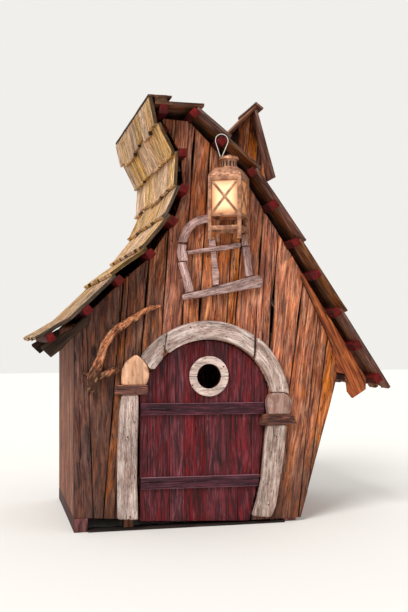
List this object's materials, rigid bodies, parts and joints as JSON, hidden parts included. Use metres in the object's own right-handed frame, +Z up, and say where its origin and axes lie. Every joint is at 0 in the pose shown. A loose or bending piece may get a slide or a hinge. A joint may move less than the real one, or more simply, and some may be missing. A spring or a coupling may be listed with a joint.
{
  "type": "wooden market hut",
  "caption": "Crooked timber hut with a swooping shake roof, an arched plank door with a porthole, a small turret and a hanging lantern.",
  "frame": {"origin": "on the ground under the middle of the front wall, on its outer face, on the underside of the threshold plank", "axes": "+Z up, the front faces -Y, +X to the right seen from the front"},
  "size_m": [2.9831, 2.05, 3.613],
  "materials": {
    "wall_boards": "weathered rough-sawn boards, oiled orange brown",
    "frame_timber": "stained sawn timber",
    "dark_timber": "dark damp plank",
    "fresh_plank": "sawn plank, bright orange stain",
    "purlin_timber": "dark red stained timber",
    "left_shakes": "weathered shakes with lichen",
    "right_shakes": "weathered dark shakes",
    "door_boards": "maroon stain worn to grey",
    "ring_wood": "pale painted wood",
    "driftwood": "bleached driftwood with dark checks",
    "driftwood_tan": "fresh tan wood",
    "driftwood_mauve": "grey mauve driftwood",
    "branch_wood": "gnarled branch, bark gone",
    "iron": "dark forged iron",
    "copper_sheet": "brown tarnished copper sheet",
    "lamp_glass": "pale yellow pane",
    "loop_cord": "thin white cord"
  },
  "bodies": {
    "hut": {"threshold": "dark_timber", "ground_sills": "frame_timber", "corner_posts": "frame_timber", "door_posts": "frame_timber", "front_wall_left": "wall_boards", "front_wall_gable": "wall_boards", "front_wall_jamb": "wall_boards", "front_wall_right": "wall_boards", "back_wall": "wall_boards", "left_wall": "wall_boards", "right_wall": "wall_boards", "eave_brackets": "frame_timber", "rake_plank": "fresh_plank", "purlins_left": "purlin_timber", "purlins_right": "purlin_timber", "roof_left_eave": "left_shakes", "roof_left_swoop": "left_shakes", "roof_left_neck": "left_shakes", "roof_left_flare": "left_shakes", "roof_left_top": "left_shakes", "crown_cap": "right_shakes", "roof_right_crown": "right_shakes", "roof_right_upper": "right_shakes", "roof_right_middle": "right_shakes", "roof_right_eave": "right_shakes", "hinge_pins": "iron", "arch_post_left": "driftwood", "arch_bar_left": "driftwood", "arch_teardrop": "driftwood_tan", "arch_piece_left": "driftwood", "arch_crown": "driftwood", "arch_piece_right": "driftwood", "arch_knob_right": "driftwood", "arch_bar_right": "driftwood", "arch_post_right": "driftwood", "window_arch": "driftwood_mauve", "window_posts": "driftwood_mauve", "window_bars": "driftwood_mauve", "window_sill": "driftwood_mauve", "lantern_frame": "copper_sheet", "lantern_glass": "lamp_glass", "lantern_roof": "copper_sheet", "lantern_loop": "loop_cord", "branch": "branch_wood", "turret_walls": "wall_boards", "turret_roof_left": "right_shakes", "turret_roof_right": "right_shakes", "turret_cap": "right_shakes"},
    "door": {"door_leaf": "door_boards", "door_ledge_lower": "door_boards", "door_ledge_upper": "door_boards", "porthole_ring": "ring_wood", "hinge_straps": "iron"}
  },
  "joints": [
    {"name": "door_hinge", "type": "hinge", "parent": "hut", "child": "door", "pos_m": [-0.422, 0.0487, 0], "axis": [0, 0, 1], "range_deg": [0, 95]}
  ]
}
